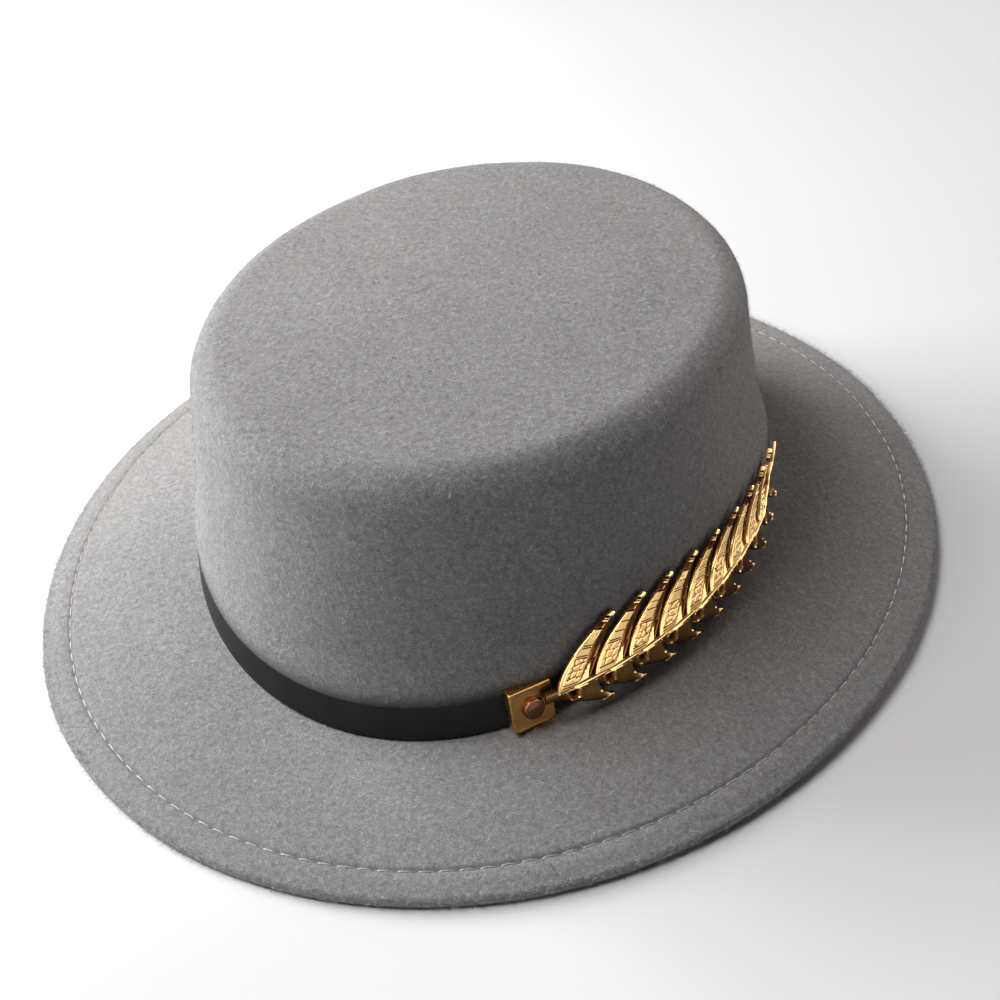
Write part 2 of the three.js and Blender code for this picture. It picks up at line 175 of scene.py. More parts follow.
# Lines across a leaflet's panel and bright ticks on its neck, as shares of its length
CROSS_LINES = [0.04, 0.075, 0.11, 0.15, 0.46, 0.488, 0.59, 0.618, 0.7]
NECK_TICKS = [0.8, 0.9, 0.925]
LINE_HALF = 0.005
TIP_REACH = {
    "along": [64.3, 108, 152, 163],
    "upper": [15.7, 17.8, 22.0, 22.0],
    "lower": [10.6, 9.6, 6.4, 4.5],
}
UPPER_LEAFLET = {
    "rear": -6, "rear pull": [-4.2, 0.62], "front": 3.2, "front pull": [7.4, 0.42], "tip half": [0.55, 0.035],
}
LOWER_LEAFLET = {
    "rear": -7, "rear pull": [-1.2, 0.82], "front": 6, "front pull": [6.2, 0.72], "tip half": [0.15, 0.085],
}
TIP_SHRINK = 0.05  # each leaflet's tip is narrower than the first one's by this share more
# Midrib: half its width at its two ends, and its section: side in half widths, depth from the ridge, how much
# painted shade darkens it
MIDRIB_ENDS = [1.2, 0.5]
MIDRIB_SECTION = [
    (-1.9, -1.8, 0.7), (-1.9, -1.35, 0.6), (-1.75, -1.12, 0.5), (-1.1, -0.8, 0.42), (-0.4, -0.48, 0.36),
    (0.2, -0.22, 0.3), (0.42, -0.1, 0.2), (0.5, 0.02, 0), (0.56, 0.06, 0), (0.9, -0.11, 0),
    (0.97, -0.18, 0), (1, -0.34, 0.1), (1, -1.8, 0.7),
]
MIDRIB_STEPS = 640
MIDRIB_ARCH = 0.28  # the upper edge rises by this between two nodes
MIDRIB_CREST = 0.34
MIDRIB_THIN_FROM = 145  # from here on it thins to this share of its depth at the leaf's end
MIDRIB_THIN_END = 0.45
NOTCH_PLACE = -0.13  # from a node, in shares of the way to the next
NOTCH_DEPTH = 1.75

# Camera, found from the photo's ovals of crown, strap, stitched line and brim edge
CAMERA_AZIMUTH = 23.4152
CAMERA_ELEVATION = 36.7290
CAMERA_ROLL = -5.3491
CAMERA_DISTANCE = 543.807
CAMERA_FOCUS = 1.799216
CAMERA_SIDE = -7.0327
CAMERA_RISE = 37.4418
CAMERA_HEIGHT = 61.5
SENSOR_WIDTH = 36

# Lamps: kind, direction from the hat as (right, away, up) from the camera, power, settings
LAMP_DISTANCE = 0.7
SOFT_SUN = math.radians(30)
LAMPS = {
    "window": ("AREA", (-0.807, 0.359, 0.469), 8.6, {"shape": "SQUARE", "size": 0.45}),
    "sky": ("SUN", (-0.5, 0.05, 0.866), 2.15, {"angle": SOFT_SUN}),
    "back": ("SUN", (0.696, 0.696, 0.174), 1.55, {"angle": SOFT_SUN, "color": (1, 0.9, 0.87)}),
}
# What polished metal mirrors, by height: a pale horizon, a bright band of windows above it, a dark ceiling
ROOM_GREYS = [(0, 0.4), (0.1, 0.42), (0.2, 0.95), (0.65, 1), (0.76, 0.14), (1, 0.08)]
ROOM_STRENGTH = 2.3
AMBIENT_STRENGTH = 0.03
BACKDROP_STRENGTH = 0.6
WORLD_TINT = (1, 0.97, 0.96, 1)
FLOOR_SIZE = 6000


def add_object(name, data):
    added = bpy.data.objects.new(name, data)
    bpy.context.scene.collection.objects.link(added)
    return added


# Camera
def camera_axes():
    azimuth = math.radians(CAMERA_AZIMUTH)
    elevation = math.radians(CAMERA_ELEVATION)
    level = math.cos(elevation)
    back = Vector((math.sin(azimuth) * level, -math.cos(azimuth) * level, math.sin(elevation)))
    side = Vector((math.cos(azimuth), math.sin(azimuth), 0))
    return side, back.cross(side), back


def place_camera():
    side, rise, back = camera_axes()
    roll = math.radians(CAMERA_ROLL)
    right = side * math.cos(roll) + rise * math.sin(roll)
    up = rise * math.cos(roll) - side * math.sin(roll)
    place = Vector((0, 0, CAMERA_HEIGHT)) - right * CAMERA_SIDE - up * CAMERA_RISE
    place += back * CAMERA_DISTANCE
    data = bpy.data.cameras.new("camera")
    data.sensor_fit = "HORIZONTAL"
    data.sensor_width = SENSOR_WIDTH
    data.lens = SENSOR_WIDTH * CAMERA_FOCUS
    data.clip_start = 0.01
    data.clip_end = 100
    camera = add_object("camera", data)
    camera.matrix_world = Matrix.Translation(place * MM) @ Matrix((right, up, back)).transposed().to_4x4()
    bpy.context.scene.camera = camera


# Colours and nodes
def to_linear(code):
    channels = [int(code[i:i + 2], 16) / 255 for i in (1, 3, 5)]
    return [c / 12.92 if c <= 0.04045 else ((c + 0.055) / 1.055) ** 2.4 for c in channels] + [1.0]


def fill(tree, node, links):
    """Each input of a node takes another node's output, or a plain value."""
    for key, value in links.items():
        if isinstance(value, bpy.types.NodeSocket):
            tree.links.new(value, node.inputs[key])
        else:
            node.inputs[key].default_value = value


def add_node(tree, kind, links=None, stops=(), **settings):
    """Adds a node. Stops are a colour ramp's places and colours."""
    node = tree.nodes.new(kind)
    for name, value in settings.items():
        setattr(node, name, value)
    if stops:
        elements = node.color_ramp.elements
        while len(elements) < len(stops):
            elements.new(0.5)
        for element, (position, colour) in zip(elements, stops):
            element.position = position
            element.color = colour
    fill(tree, node, links or {})
    return node


def hex_stops(*stops):
    return [(position, to_linear(code)) for position, code in stops]


def new_material(name, roughness, specular=0.5, metal=0):
    material = bpy.data.materials.new(name)
    material.use_nodes = True
    tree = material.node_tree
    shader = tree.nodes["Principled BSDF"]
    fill(tree, shader, {"Roughness": roughness, "Specular IOR Level": specular, "Metallic": metal})
    place = add_node(tree, "ShaderNodeTexCoord").outputs["Object"]
    return material, tree, shader, place


def wool_felt():
    # Blocked wool felt: no gloss, light and dark fibres mixed, a soft pale bloom where it turns away, and
    # painted shade in the crease of the lip over the strap and in the stitched groove.
    material, tree, shader, place = new_material("wool_felt", 0.95, 0)
    fibres = add_node(tree, "ShaderNodeTexNoise", {
        "Vector": place, "Scale": 1 / (0.42 * MM), "Detail": 5, "Roughness": 0.82, "Distortion": 0.9,
    }).outputs["Fac"]
    tufts = add_node(tree, "ShaderNodeTexNoise", {
        "Vector": place, "Scale": 1 / (1.5 * MM), "Detail": 3, "Roughness": 0.6, "Distortion": 0.5,
    }).outputs["Fac"]
    clouds = add_node(tree, "ShaderNodeTexNoise", {"Vector": place, "Scale": 1 / (30 * MM)}).outputs["Fac"]
    mixed = add_node(tree, "ShaderNodeMix", {0: 0.22, 2: fibres, 3: tufts}).outputs[0]
    mixed = add_node(tree, "ShaderNodeMix", {0: 0.05, 2: mixed, 3: clouds}).outputs[0]
    shades = hex_stops((0.36, "#656464"), (0.5, "#8b8a89"), (0.64, "#b2b1b0"))
    colour = add_node(tree, "ShaderNodeValToRGB", {"Fac": mixed}, shades).outputs["Color"]
    crease_shade = add_node(tree, "ShaderNodeAttribute", attribute_name="patina_and_shade").outputs["Fac"]
    # Painted shade: the felt darkens towards this colour in the crease above the strap and in the stitched
    # groove
    shaded_felt_colour = add_node(tree, "ShaderNodeMix", {
        0: crease_shade, 6: colour, 7: to_linear("#3b3837"),
    }, data_type="RGBA").outputs[2]
    fine = add_node(tree, "ShaderNodeBump", {"Height": fibres, "Distance": 0.4 * MM, "Strength": 0.7})
    coarse = add_node(tree, "ShaderNodeBump", {
        "Height": tufts, "Distance": 0.5 * MM, "Strength": 0.3, "Normal": fine.outputs["Normal"],
    })
    fill(tree, shader, {
        "Base Color": shaded_felt_colour, "Normal": coarse.outputs["Normal"],
        "Sheen Weight": 0.25, "Sheen Roughness": 0.5, "Sheen Tint": to_linear("#eeecea"),
    })
    return material


def wool_fibre():
    # Loose wool hairs of the nap, each a little lighter or darker than the felt.
    material, tree, shader, place = new_material("wool_fibre", 0.9, 0)
    spots = add_node(tree, "ShaderNodeTexNoise", {
        "Vector": place, "Scale": 1 / (1.5 * MM), "Detail": 1,
    }).outputs["Fac"]
    shades = hex_stops((0.35, "#777676"), (0.65, "#c9c8c7"))
    colour = add_node(tree, "ShaderNodeValToRGB", {"Fac": spots}, shades).outputs["Color"]
    fill(tree, shader, {"Base Color": colour})
    return material


def cotton_thread():
    # Glazed cotton sewing thread, the grey of the felt: it shines where it lies across the light.
    material, tree, shader, place = new_material("cotton_thread", 0.34, 1)
    plies = add_node(tree, "ShaderNodeTexNoise", {"Vector": place, "Scale": 1 / (0.4 * MM)}).outputs["Fac"]
    shades = hex_stops((0.35, "#93918f"), (0.65, "#b4b2b0"))
    colour = add_node(tree, "ShaderNodeValToRGB", {"Fac": plies}, shades).outputs["Color"]
    bumps = add_node(tree, "ShaderNodeBump", {"Height": plies, "Distance": 0.15 * MM, "Strength": 0.5})
    fill(tree, shader, {
        "Base Color": colour, "Normal": bumps.outputs["Normal"],
        "Coat Weight": 0.6, "Coat Roughness": 0.34,
    })
    return material


def coated_leather():
    # Black coated split leather: fine pores, a satin sheen that is uneven where it was handled.
    material, tree, shader, place = new_material("coated_leather", 0.45, 0.25)
    pores = add_node(tree, "ShaderNodeTexVoronoi", {
        "Vector": place, "Scale": 1 / (0.6 * MM),
    }).outputs["Distance"]
    wear = add_node(tree, "ShaderNodeTexNoise", {
        "Vector": place, "Scale": 1 / (9 * MM), "Detail": 4, "Roughness": 0.6,
    }).outputs["Fac"]
    shades = hex_stops((0.35, "#0c0b0e"), (0.7, "#151418"))
    colour = add_node(tree, "ShaderNodeValToRGB", {"Fac": wear}, shades).outputs["Color"]
    gloss = add_node(tree, "ShaderNodeMapRange", {"Value": wear, "To Min": 0.38, "To Max": 0.55}).outputs[0]
    bumps = add_node(tree, "ShaderNodeBump", {"Height": pores, "Distance": 0.12 * MM, "Strength": 0.35})
    fill(tree, shader, {"Base Color": colour, "Roughness": gloss, "Normal": bumps.outputs["Normal"]})
    return material


def cast_plating(name, pale, deep, darkest_colour, gloss_low, gloss_high):
    # Plated cast zinc: bright where it was polished, brown and duller with patina where it is sunk, and
    # darkened with painted shade where the leaf's faces turn down, in its channels and in its pits and
    # notches.
    material, tree, shader, place = new_material(name, gloss_low, metal=1)
    patina_and_shade = add_node(tree, "ShaderNodeAttribute", attribute_name="patina_and_shade").outputs["Fac"]
    cast = add_node(tree, "ShaderNodeTexNoise", {
        "Vector": place, "Scale": 1 / (0.9 * MM), "Detail": 4, "Roughness": 0.6,
    }).outputs["Fac"]
    patches = add_node(tree, "ShaderNodeTexNoise", {"Vector": place, "Scale": 1 / (5 * MM)}).outputs["Fac"]
    uneven = add_node(tree, "ShaderNodeMath", {
        0: patches, 1: 0.3, 2: -0.15,
    }, operation="MULTIPLY_ADD").outputs[0]
    depth = add_node(tree, "ShaderNodeMath", {0: patina_and_shade, 1: uneven}, operation="ADD").outputs[0]
    shades = hex_stops((0, pale), (0.5, deep), (1, darkest_colour))
    colour = add_node(tree, "ShaderNodeValToRGB", {"Fac": depth}, shades).outputs["Color"]
    base = add_node(tree, "ShaderNodeMix", {0: cast, 2: gloss_low, 3: gloss_high}).outputs[0]
    gloss = add_node(tree, "ShaderNodeMath", {0: patina_and_shade, 1: 0.2, 2: base}, operation="MULTIPLY_ADD").outputs[0]
    bumps = add_node(tree, "ShaderNodeBump", {"Height": cast, "Distance": 0.05 * MM, "Strength": 0.1})
    fill(tree, shader, {"Base Color": colour, "Roughness": gloss, "Normal": bumps.outputs["Normal"]})
    return material


def paper_sweep():
    # Matt white paper under the hat.
    material, tree, shader, place = new_material("white_paper", 0.9, 0.1)
    spots = add_node(tree, "ShaderNodeTexNoise", {"Vector": place, "Scale": 1 / (300 * MM)}).outputs["Fac"]
    shades = hex_stops((0.3, "#dcdcdd"), (0.7, "#e0e0e0"))
    colour = add_node(tree, "ShaderNodeValToRGB", {"Fac": spots}, shades).outputs["Color"]
    fill(tree, shader, {"Base Color": colour})
    return material


# Shape of the hat
def foot_height(angle):
    return BASE_HEIGHT - BASE_SADDLE * np.cos(2 * angle)


def beside_wall(angle, height, out):
    """Points at a level distance out from the crown's leaning wall."""
    foot = foot_height(angle)
    lean = np.maximum(0, height - foot) / (CROWN_TOP - foot)
    width = BASE_HALF_WIDTH - LEAN_WIDTH * lean
    length = BASE_HALF_LENGTH - LEAN_LENGTH * lean
    across = np.sin(angle) / width
    ahead = -np.cos(angle) / length
    size = np.hypot(across, ahead)
    x = width * np.sin(angle) + out * across / size
    y = -length * np.cos(angle) + out * ahead / size
    return np.stack([x, y, height + 0 * x], axis=-1)


def edge_floor(angle):
    return EDGE_LIFT * np.maximum(0, (np.sin(angle) ** 2 - REST_SHARE) / (1 - REST_SHARE))


def brim_top(angle, out):
    start = foot_height(angle) - BRIM_DROP
    hem = HEM_HEIGHT - HEM_WAVE * np.cos(2 * angle)
    edge = edge_floor(angle) + 2 * FELT
    slope = (hem - start) / HEM_OUT
    bend = ((edge - hem) / (EDGE_OUT - HEM_OUT) - slope) / EDGE_OUT
    return start + slope * out + bend * out * (out - HEM_OUT)


def on_brim(angle, out, rise=0.0):
    return beside_wall(angle, brim_top(angle, out) + rise, out)


def even_spacing(line, top, count):
    """Values between 0 and top that cut a line of points into equal lengths, and the line's length."""
    values = np.linspace(0, top, 2881)
    steps = np.linalg.norm(np.diff(line(values), axis=0), axis=1)
    reached = np.concatenate([[0], np.cumsum(steps)])
    return np.interp(np.linspace(0, reached[-1], count + 1), reached, values), reached[-1]


def stitched_line(angle):
    return on_brim(angle, HEM_OUT)


STITCH_COUNT = round(even_spacing(stitched_line, 2 * math.pi, 1)[1] / STITCH_PITCH)
FELT_ANGLES = even_spacing(stitched_line, 2 * math.pi, STITCH_COUNT * COLUMNS_PER_STITCH)[0][:-1]


# Meshes
def circle(count):
    return np.arange(count) * 2 * math.pi / count


def quarter_round(x, y, radius, start, count):
    """Points on a quarter circle round a middle, from start degrees on."""
    turns = np.radians(start + np.linspace(0, 90, count))
    return [(x + radius * math.cos(turn), y + radius * math.sin(turn)) for turn in turns]


def join_rings(rows, loop=False):
    """Faces between rings of points. The ends close on a middle point, or on each other in a loop."""
    rows = np.asarray(rows, float)
    count, width = rows.shape[:2]
    points = rows.reshape(-1, 3)
    first = np.arange(count if loop else count - 1)[:, None] * width
    second = (first + width) % (count * width)
    here = np.arange(width)[None, :]
    after = (here + 1) % width
    faces = np.stack([first + here, second + here, second + after, first + after], axis=-1)
    faces = faces.reshape(-1, 4).tolist()
    if not loop:
        points = np.concatenate([points, rows[[0, -1]].mean(axis=1)])
        hub = count * width
        last = (count - 1) * width
        for i in range(width):
            j = (i + 1) % width
            faces.append([hub, i, j])
            faces.append([hub + 1, last + j, last + i])
    return points, faces


def open_sheet(rows):
    """Faces between rings of points, open at both ends."""
    points, faces = join_rings(rows)
    return points[:-2], [face for face in faces if len(face) == 4]


def make_piece(name, parts, material, sharp=None, node=None, slot=None):
    """One object of several bodies: points, faces and, where it shows, how much patina, wear and painted
    shade darken each point.
    """
    points = []
    faces = []
    patina_and_shade = []
    for body in parts:
        start = len(points)
        points += (np.asarray(body[0]) * MM).tolist()
        faces += [[start + i for i in face] for face in body[1]]
        patina_and_shade += list(body[2]) if len(body) > 2 else [0.0] * len(body[0])
    mesh = bpy.data.meshes.new(name)
    mesh.from_pydata(points, [], faces)
    mesh.polygons.foreach_set("use_smooth", [True] * len(mesh.polygons))
    if sharp is not None:
        shape = bmesh.new()
        shape.from_mesh(mesh)
        bmesh.ops.recalc_face_normals(shape, faces=shape.faces)
        shape.to_mesh(mesh)
        shape.free()
        mesh.set_sharp_from_angle(angle=math.radians(sharp))
    mesh.attributes.new("patina_and_shade", "FLOAT", "POINT").data.foreach_set("value", patina_and_shade)
    mesh.materials.append(material)
    piece = add_object(name, mesh)
    if slot:
        own(piece, node)
    return piece


def own(piece, node=None):
    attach(piece, "root")
    if node:
        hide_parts(node)


# Felt crown and brim
def felt_unevenness(rows):
    """Hand-blocked felt waves by a few tenths of a millimetre, but lies flat where it rests."""
    points = rows.reshape(-1, 3)
    slow = np.array([noise.noise(Vector(p) / SLOW_WAVE_LENGTH) for p in points])
    quick = np.array([noise.noise(Vector(p) / QUICK_WAVE_LENGTH + Vector((7, 3, 1))) for p in points])
    wave = SLOW_WAVE_HEIGHT * slow + QUICK_WAVE_HEIGHT * quick
    lift = np.clip((points[:, 2] - WAVE_FLOOR) / WAVE_FADE, 0, 1)
    level = points[:, :2] / (np.linalg.norm(points[:, :2], axis=1, keepdims=True) + 1e-6)
    moved = points.copy()
    moved[:, 2] += lift * wave
    moved[:, :2] += level * wave[:, None]
    return moved.reshape(rows.shape)


def crown_rows(inset, shares, steps):
    angle = FELT_ANGLES
    rim = beside_wall(angle, SPRINGING + 0 * angle, -SHOULDER_RADIUS)
    rows = []
    for share in shares:
        height = CROWN_TOP - inset + TOP_DOME * (1 - share * share)
        rows.append(np.stack([rim[:, 0] * share, rim[:, 1] * share, height + 0 * angle], axis=-1))
    radius = SHOULDER_RADIUS - inset
    for turn in np.linspace(math.pi / 2, 0, steps):
        row = beside_wall(angle, SPRINGING + 0 * angle, -inset - radius * (1 - math.cos(turn)))
        row[:, 2] = SPRINGING + radius * math.sin(turn)
        rows.append(row)
    return rows


def stitch_dimples():
    """How deep the stitched groove is at each column: deepest where the thread enters the felt."""
    column = np.arange(len(FELT_ANGLES)) % COLUMNS_PER_STITCH
    return np.where(column == 0, 1.0, np.where(column == 2, 0.5, 0.62))


def fillet_height(angle):
    return brim_top(angle, FOOT_FILLET) + FOOT_FILLET


def wall_and_lip(angle):
    """Rings down the crown's wall and over the lip above the strap, and how much painted shade darkens each
    in the crease above the strap.
    """
    foot = foot_height(angle)
    lip_top = foot + FELT_LIP[0][0]
    rings = []
    for share in np.linspace(0, 1, 8)[1:-1]:
        rings.append(beside_wall(angle, SPRINGING + (lip_top - SPRINGING) * share, 0))
    crease_shade = [0] * len(rings) + [lip_shade for _, _, lip_shade in FELT_LIP]
    rings += [beside_wall(angle, foot + up, out) for up, out, _ in FELT_LIP]
    return rings, crease_shade


def upper_brim(angle):
    """Rings of the brim's upper face from the crown's foot to the edge's round, and how much painted shade
    darkens each in the stitched groove.
    """
    fillet = fillet_height(angle)
    rings = []
    for turn in np.linspace(0, math.pi / 2, 4):
        out = FOOT_FILLET * (1 - math.cos(turn))
        rings.append(beside_wall(angle, fillet - FOOT_FILLET * math.sin(turn), out))
    for out in np.linspace(FOOT_FILLET, HEM_OUT - GROOVE_REACH, 17)[1:]:
        rings.append(on_brim(angle, out))
    crease_shade = [0] * len(rings)
    for offset in GROOVE_OFFSETS:
        sink = math.exp(-((offset / GROOVE_WIDTH) ** 2))
        rings.append(on_brim(angle, HEM_OUT + offset, -GROOVE_DEPTH * sink * stitch_dimples()))
        crease_shade.append(GROOVE_SHADE * sink)
    for out in np.linspace(HEM_OUT + GROOVE_REACH, EDGE_OUT - 0.6, 5):
        swell = HEM_SWELL * math.sin(math.pi * (out - HEM_OUT) / (EDGE_OUT - HEM_OUT))
        rings.append(on_brim(angle, out, swell))
        crease_shade.append(0)
    return rings, crease_shade


def rounded_edge(angle):
    rings = []
    for turn in np.linspace(math.pi / 2, -math.pi / 2, 11):
        height = edge_floor(angle) + FELT * (1 + math.sin(turn))
        rings.append(beside_wall(angle, height, EDGE_OUT + FELT * math.cos(turn)))
    return rings


def inside_rings(angle):
    """Rings under the turned hem, where it ends below the stitches, and on up inside the crown."""
    hem_under = brim_top(angle, HEM_OUT) - 2 * FELT
    rest = edge_floor(angle)
    hem = [(rest, EDGE_OUT - REST_WIDTH), ((hem_under + rest) / 2, HEM_OUT + 1.9), (hem_under, HEM_OUT)]
    hem += [(hem_under + 0.15, HEM_OUT - 1.1), (hem_under + 0.8 * FELT, HEM_OUT - 1.3)]
    rings = [beside_wall(angle, height, out) for height, out in hem]
    for out in np.linspace(HEM_OUT - 2, FOOT_FILLET, 6):
        rings.append(on_brim(angle, out, -FELT))
    turned = brim_top(angle, 0) + FOOT_FILLET - FELT / 2
    rings.append(beside_wall(angle, turned, FOOT_FILLET / 2 - FELT))
    fillet = fillet_height(angle)
    for share in np.linspace(0, 1, 6)[:-1]:
        rings.append(beside_wall(angle, fillet + FELT + (SPRINGING - fillet - FELT) * share, -FELT))
    return rings + crown_rows(FELT, np.linspace(0.1, 0.95, 6), 6)[::-1]


def felt_rows():
    """Rings of the felt from the crown's middle over the edge and back inside, how much painted shade darkens
    each ring, and where the outer regions that carry nap begin and end."""
    angle = FELT_ANGLES
    crown = crown_rows(0, np.linspace(0.03, 0.96, 12), 11)
    wall, wall_crease_shade = wall_and_lip(angle)
    brim, brim_crease_shade = upper_brim(angle)
    brim_start = len(crown) + len(wall)
    edge_start = brim_start + len(brim)
    regions = {
        "crown_top": (0, len(crown) - 2), "crown_side": (len(crown) - 3, brim_start - 8),
        "brim": (brim_start, edge_start + 2), "edge": (edge_start + 1, edge_start + 7),
    }
    rows = crown + wall + brim + rounded_edge(angle) + inside_rings(angle)
    crease_shade = [0] * len(crown) + wall_crease_shade + brim_crease_shade
    crease_shade += [0] * (len(rows) - len(crease_shade))
    return felt_unevenness(np.array(rows)), crease_shade, regions


def make_felt():
    rows, crease_shade, regions = felt_rows()
    points, faces = join_rings(rows)
    crease_shade = np.concatenate([np.repeat(crease_shade, rows.shape[1]), [0, 0]])
    make_piece("felt_crown_and_brim", [(points, faces, crease_shade)], wool_felt(), None, "felt_body", "felt")
    return rows, regions


# Repeated small pieces
def new_tree(name, inputs):
    tree = bpy.data.node_groups.new(name, "GeometryNodeTree")
    tree.interface.new_socket("Geometry", in_out="INPUT", socket_type="NodeSocketGeometry")
    for label, kind in inputs.items():
        tree.interface.new_socket(label, in_out="INPUT", socket_type="NodeSocket" + kind)
    tree.interface.new_socket("Geometry", in_out="OUTPUT", socket_type="NodeSocketGeometry")
    return tree, tree.nodes.new("NodeGroupInput").outputs


def close_tree(tree, copies, material):
    real = add_node(tree, "GeometryNodeRealizeInstances", {"Geometry": copies}).outputs[0]
    done = add_node(tree, "GeometryNodeSetMaterial", {"Geometry": real, "Material": material}).outputs[0]
    add_node(tree, "NodeGroupOutput", {"Geometry": done})


def grow(base, tree, values, name):
    """Runs a tree on a base object and keeps the result as one plain piece."""
    modifier = base.modifiers.new("grow", "NODES")
    modifier.node_group = tree
    for item in tree.interface.items_tree:
        if item.in_out == "INPUT" and item.name in values:
            modifier[item.identifier] = values[item.name]
    evaluated = base.evaluated_get(bpy.context.evaluated_depsgraph_get())
    mesh = bpy.data.meshes.new_from_object(evaluated)
    base.modifiers.remove(modifier)
    bpy.data.objects.remove(base)
    mesh.name = name
    points = np.empty(3 * len(mesh.vertices), np.float32)
    mesh.vertices.foreach_get("co", points)
    points[2::3] = np.maximum(points[2::3], FLOOR_GAP * MM)
    mesh.vertices.foreach_set("co", points)
    mesh.polygons.foreach_set("use_smooth", [True] * len(mesh.polygons))
    own(add_object(name, mesh))


def nap_tree(material):
    """Short curled hairs that lie on the felt or stand from it, heading every way."""
    tree, given = new_tree("nap", {
        "Per square metre": "Float", "Length": "Float", "Width": "Float", "Seed": "Int",
        "Least turn": "Vector", "Most turn": "Vector",
    })
    spread = add_node(tree, "GeometryNodeDistributePointsOnFaces", {
        "Mesh": given["Geometry"], "Density": given["Per square metre"], "Seed": given["Seed"],
    })
    bends = {"Start": (0, 0, 0), "Middle": (0.5, 0.5, 0.4), "End": (0.95, -0.1, 0.12)}
    for label, share in bends.items():
        bends[label] = add_node(tree, "ShaderNodeVectorMath", {
            0: share, "Scale": given["Length"],
        }, operation="SCALE").outputs[0]
    line = add_node(tree, "GeometryNodeCurveQuadraticBezier", {"Resolution": 3, **bends}).outputs[0]
    wide = add_node(tree, "ShaderNodeCombineXYZ", {"X": given["Width"]}).outputs[0]
    flat = add_node(tree, "GeometryNodeCurvePrimitiveLine", {"Start": (0, 0, 0), "End": wide}).outputs[0]
    hair = add_node(tree, "GeometryNodeCurveToMesh", {"Curve": line, "Profile Curve": flat}).outputs[0]
    tilt = add_node(tree, "FunctionNodeRandomValue", {
        0: given["Least turn"], 1: given["Most turn"], "Seed": given["Seed"],
    }, data_type="FLOAT_VECTOR").outputs[0]
    turned = add_node(tree, "FunctionNodeRotateRotation", {
        "Rotation": spread.outputs["Rotation"],
        "Rotate By": add_node(tree, "FunctionNodeEulerToRotation", {"Euler": tilt}).outputs[0],
    }, rotation_space="LOCAL").outputs[0]
    size = add_node(tree, "FunctionNodeRandomValue", {
        2: HAIR_SIZES[0], 3: HAIR_SIZES[1], "Seed": given["Seed"],
    }, data_type="FLOAT").outputs[1]
    copies = add_node(tree, "GeometryNodeInstanceOnPoints", {
        "Points": spread.outputs["Points"], "Instance": hair, "Rotation": turned, "Scale": size,
    }).outputs[0]
    close_tree(tree, copies, material)
    return tree


def stitch_tree(material):
    """A stitch at each point: a short arc of thread whose two ends go into the felt."""
    tree, given = new_tree("stitches", {"Length": "Float", "Rise": "Float", "Thread radius": "Float"})
    lift = add_node(tree, "ShaderNodeCombineXYZ", {"Z": given["Rise"]}).outputs[0]
    ends = []
    for share in ((-0.5, 0, 0), (0.5, 0, 0)):
        end = add_node(tree, "ShaderNodeVectorMath", {
            0: share, "Scale": given["Length"],
        }, operation="SCALE").outputs[0]
        ends += [end, add_node(tree, "ShaderNodeVectorMath", {0: end, 1: lift}, operation="ADD").outputs[0]]
    line = add_node(tree, "GeometryNodeCurvePrimitiveBezierSegment", {
        "Resolution": 7, "Start": ends[0], "Start Handle": ends[1], "End Handle": ends[3], "End": ends[2],
    }).outputs[0]
    round_thread = add_node(tree, "GeometryNodeCurvePrimitiveCircle", {
        "Resolution": 6, "Radius": given["Thread radius"],
    }).outputs[0]
    thread = add_node(tree, "GeometryNodeCurveToMesh", {
        "Curve": line, "Profile Curve": round_thread, "Fill Caps": True,
    }).outputs[0]
    heading = add_node(tree, "GeometryNodeInputNamedAttribute", {
        "Name": "heading",
    }, data_type="FLOAT_VECTOR").outputs[0]
    copies = add_node(tree, "GeometryNodeInstanceOnPoints", {
        "Points": given["Geometry"], "Instance": thread,
        "Rotation": add_node(tree, "FunctionNodeEulerToRotation", {"Euler": heading}).outputs[0],
    }).outputs[0]
    close_tree(tree, copies, material)
    return tree


def make_nap(rows, regions):
    hair = wool_fibre()
    tree = nap_tree(hair)
    for name, (density, length, width, tilt, seed) in NAP.items():
        first, last = regions[name]
        base = make_piece("nap_base", [open_sheet(rows[first:last])], hair)
        grow(base, tree, {
            "Per square metre": density / MM ** 2, "Length": length * MM, "Width": width * MM, "Seed": seed,
            "Least turn": (-tilt, -tilt, -HAIR_SPIN), "Most turn": (tilt, tilt, HAIR_SPIN),
        }, "nap_" + name)


def make_stitches():
    thread = cotton_thread()
    tree = stitch_tree(thread)
    angle = FELT_ANGLES[COLUMNS_PER_STITCH // 2::COLUMNS_PER_STITCH]
    kinds = (("stitches_above", -STITCH_SINK, 0), ("stitches_below", UNDER_STITCH_SINK - 2 * FELT, math.pi))
    for name, rise, roll in kinds:
        points = on_brim(angle, HEM_OUT, rise)
        ahead = on_brim(angle + 0.01, HEM_OUT, rise) - on_brim(angle - 0.01, HEM_OUT, rise)
        turn = np.arctan2(ahead[:, 1], ahead[:, 0])
        climb = np.arctan2(ahead[:, 2], np.hypot(ahead[:, 0], ahead[:, 1]))
        heading = np.stack([0 * turn + roll, -climb, turn], axis=-1)
        base = make_piece("stitch_base", [(felt_unevenness(points[None])[0], [])], thread)
        headings = base.data.attributes.new("heading", "FLOAT_VECTOR", "POINT")
        headings.data.foreach_set("vector", heading.ravel())
        grow(base, tree, {
            "Length": STITCH_LENGTH * MM, "Rise": STITCH_RISE * MM, "Thread radius": THREAD_RADIUS * MM,
        }, name)


